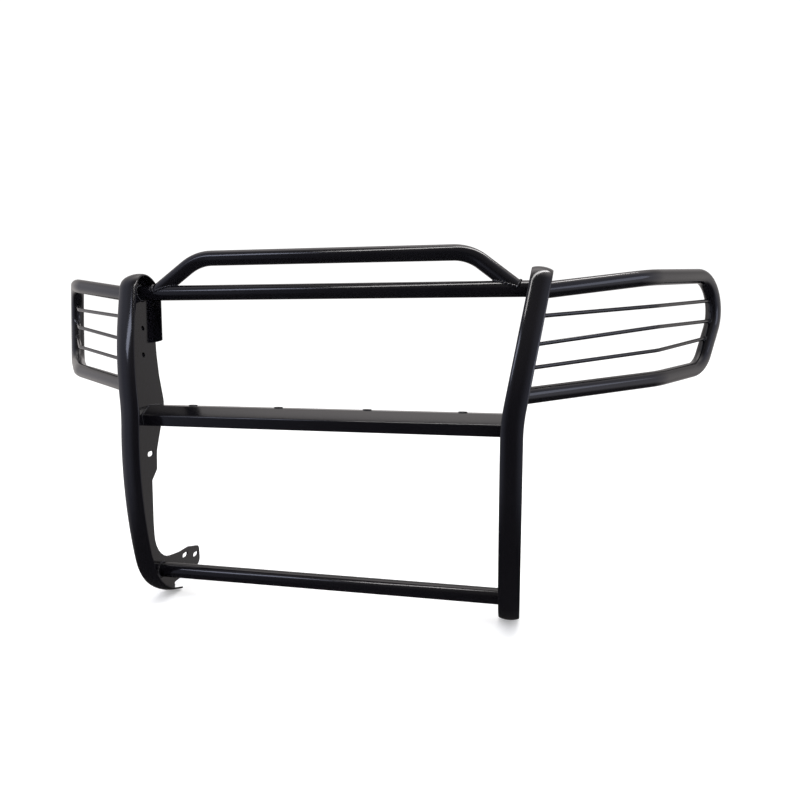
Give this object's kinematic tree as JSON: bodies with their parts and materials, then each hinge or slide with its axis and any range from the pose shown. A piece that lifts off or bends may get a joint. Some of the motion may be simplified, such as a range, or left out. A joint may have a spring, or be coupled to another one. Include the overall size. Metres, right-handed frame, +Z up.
{
  "type": "front grille guard",
  "caption": "Welded steel grille guard for a pickup truck: upright plates, cross tubes, lamp shelf and wrap-around headlamp wings with rods.",
  "frame": {"origin": "bottom centre of the whole guard's box", "axes": "+X to the guard's side that is on the right seen from the front, +Y rearward to the truck, +Z up"},
  "size_m": [1.9834, 0.541, 0.9052],
  "materials": {
    "powder_coat": "satin black powder coat over steel",
    "nut_coat": "black powder coat over a steel nut",
    "plug_plastic": "moulded black plastic"
  },
  "bodies": {
    "root": {"hole_plug_1": "plug_plastic", "hole_plug_2": "plug_plastic", "hole_plug_3": "plug_plastic", "hole_plug_4": "plug_plastic", "lower_cross_tube": "powder_coat", "mid_crossbar": "powder_coat", "top_cross_tube": "powder_coat", "top_hoop": "powder_coat", "upright_plate_left": "powder_coat", "upright_plate_right": "powder_coat", "upright_strip_left": "powder_coat", "upright_strip_right": "powder_coat", "weld_nut_left_1": "nut_coat", "weld_nut_left_2": "nut_coat", "weld_nut_right_1": "nut_coat", "weld_nut_right_2": "nut_coat", "wing_rod_left_1": "powder_coat", "wing_rod_left_2": "powder_coat", "wing_rod_left_3": "powder_coat", "wing_rod_right_1": "powder_coat", "wing_rod_right_2": "powder_coat", "wing_rod_right_3": "powder_coat", "wing_tube_left": "powder_coat", "wing_tube_right": "powder_coat"}
  },
  "joints": []
}
